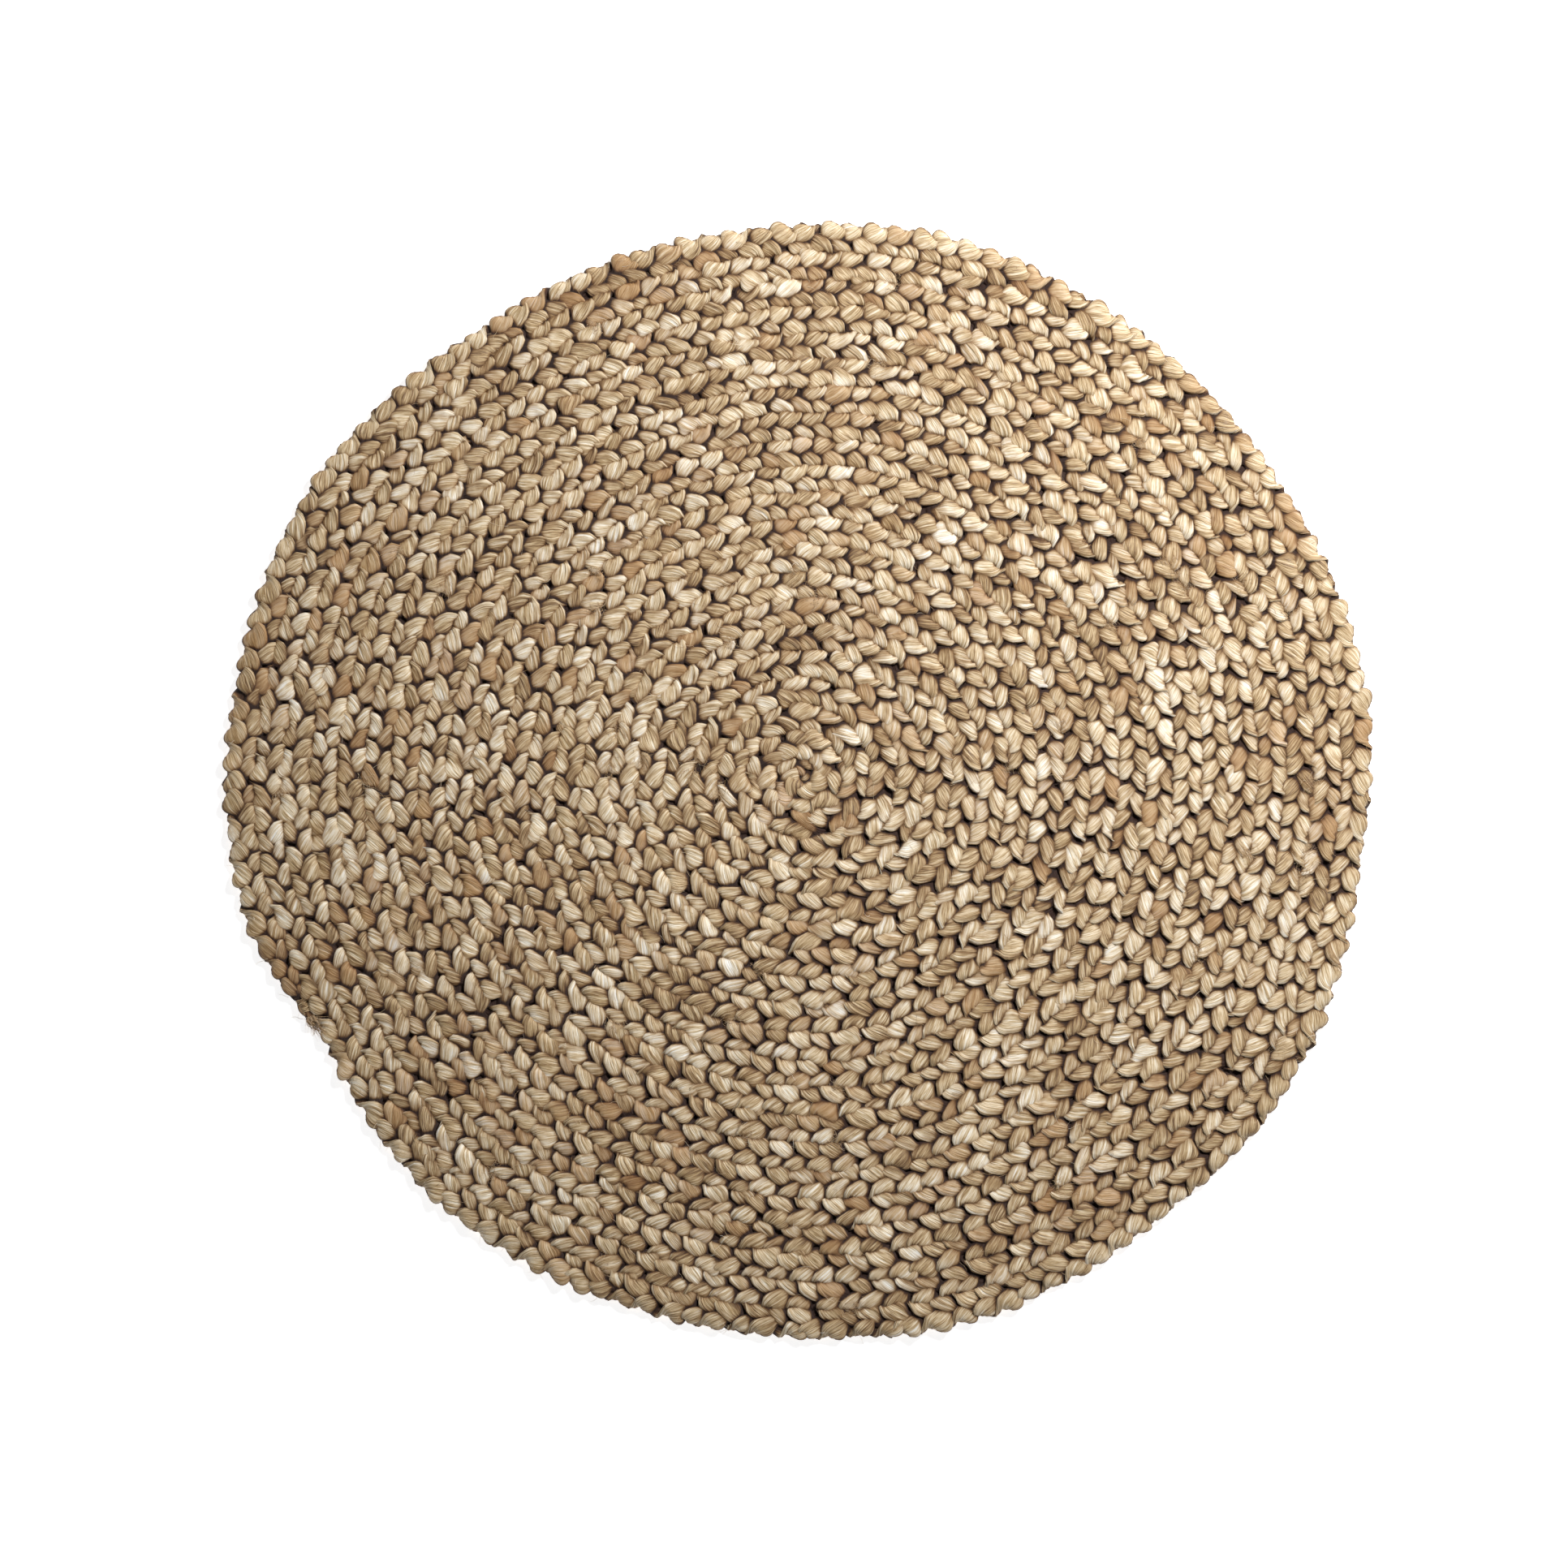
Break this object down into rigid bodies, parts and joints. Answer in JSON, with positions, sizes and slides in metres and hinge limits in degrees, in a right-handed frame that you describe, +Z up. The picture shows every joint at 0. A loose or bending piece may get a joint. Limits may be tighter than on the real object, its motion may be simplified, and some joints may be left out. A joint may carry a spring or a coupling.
{
  "type": "round braided rug",
  "caption": "Flat round area rug: one three-strand natural jute braid wound outwards as a spiral, laced round to round, its outer end tapered, bound and tucked in.",
  "frame": {"origin": "on the floor, under the middle of the rug's outline", "axes": "+Z up out of the floor, through the rug's thickness; the braid's outer end lies 207 degrees counter-clockwise from +X"},
  "size_m": [1.0186, 0.992, 0.011],
  "materials": {
    "jute": "untwisted straw-coloured jute fibre, matt with a slight sheen",
    "twine": "twisted jute twine, matt"
  },
  "bodies": {
    "root": {"braid_round_01": "jute", "braid_round_02": "jute", "braid_round_03": "jute", "braid_round_04": "jute", "braid_round_05": "jute", "braid_round_06": "jute", "braid_round_07": "jute", "braid_round_08": "jute", "braid_round_09": "jute", "braid_round_10": "jute", "braid_round_11": "jute", "braid_round_12": "jute", "braid_round_13": "jute", "braid_round_14": "jute", "braid_round_15": "jute", "braid_round_16": "jute", "braid_round_17": "jute", "braid_round_18": "jute", "braid_round_19": "jute", "braid_round_20": "jute", "lacing_thread": "twine", "end_whipping": "twine"}
  },
  "joints": []
}
